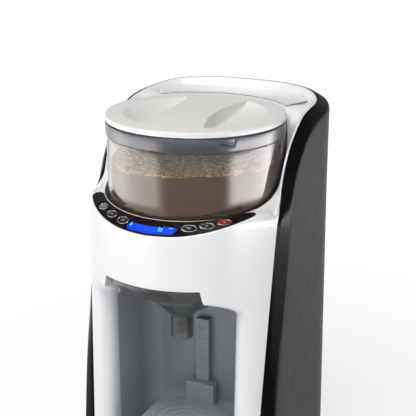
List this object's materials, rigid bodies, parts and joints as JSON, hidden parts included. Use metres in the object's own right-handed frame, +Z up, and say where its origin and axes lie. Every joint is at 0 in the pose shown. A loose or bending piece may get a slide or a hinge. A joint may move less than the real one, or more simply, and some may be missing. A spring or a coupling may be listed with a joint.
{
  "type": "baby formula maker",
  "caption": "Countertop formula maker: clear round powder hopper with bayonet lid over a bottle bay with funnel, stand and drip tray, and a lift-out water tank behind.",
  "frame": {"origin": "on the worktop, at the middle of the footprint, which runs from the drip tray's front to the back of the side shell", "axes": "+Z up, -Y towards the user (the bottle bay faces -Y), +X to the user's right when facing the machine"},
  "size_m": [0.2004, 0.2479, 0.381],
  "materials": {
    "white_shell": "glossy white moulded ABS",
    "dark_shell": "glossy charcoal black moulded ABS",
    "black_plastic": "matte black moulded plastic",
    "bay_grey": "satin mid grey plastic",
    "smoke_plastic": "translucent smoke grey plastic",
    "clear_plastic": "clear polished plastic",
    "lock_ring_grey": "translucent blue grey plastic",
    "foot_rubber": "soft grey rubber",
    "panel_gloss": "piano black gloss",
    "display_blue": "lit blue liquid crystal display",
    "circuit_board": "green solder mask",
    "steel": "zinc plated steel",
    "cast_alloy": "die-cast aluminium",
    "acetal_white": "off-white moulded acetal",
    "silicone": "milky silicone",
    "button_black": "black key with a bright printed ring"
  },
  "bodies": {
    "chassis": {"front_shell": "white_shell", "rear_shell": "dark_shell", "base_plate": "black_plastic", "foot_front_left": "foot_rubber", "foot_front_right": "foot_rubber", "foot_rear_left": "foot_rubber", "foot_rear_right": "foot_rubber", "base_screw_1": "steel", "base_screw_2": "steel", "base_screw_3": "steel", "base_screw_4": "steel", "bay_liner": "bay_grey", "stand_rail": "bay_grey", "panel_lens": "panel_gloss", "display_module": "display_blue", "control_board": "circuit_board", "hopper_deck": "white_shell", "gear_plate": "steel", "drive_motor": "steel", "powder_chute": "acetal_white", "water_spout": "silicone", "water_pump": "black_plastic", "water_heater": "cast_alloy", "heater_bracket": "steel", "power_board": "circuit_board", "power_supply": "black_plastic", "power_inlet": "black_plastic", "tank_dock": "black_plastic", "tank_shelf": "black_plastic", "dock_hose": "silicone", "pump_hose": "silicone", "spout_hose": "silicone"},
    "hopper": {"hopper_bowl": "clear_plastic", "lock_ring": "lock_ring_grey"},
    "seal": {"lid_seal": "silicone"},
    "lid": {"hopper_lid": "white_shell"},
    "stirrer": {"stirring_wheel": "acetal_white"},
    "gear": {"drive_gear": "acetal_white"},
    "pinion": {"motor_pinion": "steel"},
    "mode_key": {"mode_button": "button_black"},
    "volume_key": {"volume_button": "button_black"},
    "heat_key": {"heat_button": "button_black"},
    "powder_key": {"powder_button": "button_black"},
    "start_key": {"start_button": "button_black"},
    "stop_key": {"stop_button": "button_black"},
    "tank": {"water_tank": "smoke_plastic"},
    "tank_cover": {"tank_lid": "white_shell"},
    "valve": {"tank_valve": "silicone"},
    "funnel_body": {"funnel": "smoke_plastic"},
    "tray": {"drip_tray": "black_plastic"},
    "grille": {"tray_grille": "bay_grey"},
    "stand": {"bottle_stand": "bay_grey"}
  },
  "joints": [
    {"name": "hopper_lift", "type": "slide", "parent": "chassis", "child": "hopper", "axis": [0, 0, 1], "range_m": [0, 0.12]},
    {"name": "lid_lift", "type": "slide", "parent": "hopper", "child": "seal", "axis": [0, 0, 1], "range_m": [0, 0.06]},
    {"name": "lid_twist", "type": "hinge", "parent": "seal", "child": "lid", "pos_m": [0, -0.007, 0.36], "axis": [0, 0, 1], "range_deg": [0, 12]},
    {"name": "stirrer_spin", "type": "hinge", "parent": "hopper", "child": "stirrer", "pos_m": [0, -0.007, 0.281], "axis": [0, 0, 1], "continuous": true},
    {"name": "gear_spin", "type": "hinge", "parent": "chassis", "child": "gear", "pos_m": [0, -0.007, 0.2614], "axis": [0, 0, 1], "continuous": true},
    {"name": "pinion_spin", "type": "hinge", "parent": "chassis", "child": "pinion", "pos_m": [0, 0.0291, 0.2614], "axis": [0, 0, 1], "continuous": true},
    {"name": "mode_press", "type": "slide", "parent": "chassis", "child": "mode_key", "axis": [0.2046, 0.2619, -0.9432], "range_m": [0, 0.0008], "stiffness_N_per_m": 300},
    {"name": "volume_press", "type": "slide", "parent": "chassis", "child": "volume_key", "axis": [0.2109, 0.4051, -0.8896], "range_m": [0, 0.0008], "stiffness_N_per_m": 300},
    {"name": "heat_press", "type": "slide", "parent": "chassis", "child": "heat_key", "axis": [0.1571, 0.4981, -0.8528], "range_m": [0, 0.0008], "stiffness_N_per_m": 300},
    {"name": "powder_press", "type": "slide", "parent": "chassis", "child": "powder_key", "axis": [-0.1865, 0.4615, -0.8673], "range_m": [0, 0.0008], "stiffness_N_per_m": 300},
    {"name": "start_press", "type": "slide", "parent": "chassis", "child": "start_key", "axis": [-0.2181, 0.3559, -0.9087], "range_m": [0, 0.0008], "stiffness_N_per_m": 300},
    {"name": "stop_press", "type": "slide", "parent": "chassis", "child": "stop_key", "axis": [-0.1854, 0.2132, -0.9593], "range_m": [0, 0.0008], "stiffness_N_per_m": 300},
    {"name": "tank_lift", "type": "slide", "parent": "chassis", "child": "tank", "axis": [0, 0, 1], "range_m": [0, 0.25]},
    {"name": "tank_lid_hinge", "type": "hinge", "parent": "tank", "child": "tank_cover", "pos_m": [0, 0.1045, 0.375], "axis": [-1, 0, 0], "range_deg": [0, 62]},
    {"name": "valve_lift", "type": "slide", "parent": "tank", "child": "valve", "axis": [0, 0, 1], "range_m": [0, 0.003], "stiffness_N_per_m": 200},
    {"name": "funnel_slide", "type": "slide", "parent": "chassis", "child": "funnel_body", "axis": [0, -1, 0], "range_m": [0, 0.095]},
    {"name": "tray_slide", "type": "slide", "parent": "chassis", "child": "tray", "axis": [0, -1, 0], "range_m": [0, 0.13]},
    {"name": "grille_lift", "type": "slide", "parent": "tray", "child": "grille", "axis": [0, 0, 1], "range_m": [0, 0.03]},
    {"name": "stand_height", "type": "slide", "parent": "chassis", "child": "stand", "axis": [0, 0, 1], "range_m": [-0.035, 0.05]}
  ],
  "couplings": [
    {"joint": "stirrer_spin", "follows": "gear_spin", "ratio": 1},
    {"joint": "pinion_spin", "follows": "gear_spin", "ratio": -3}
  ]
}
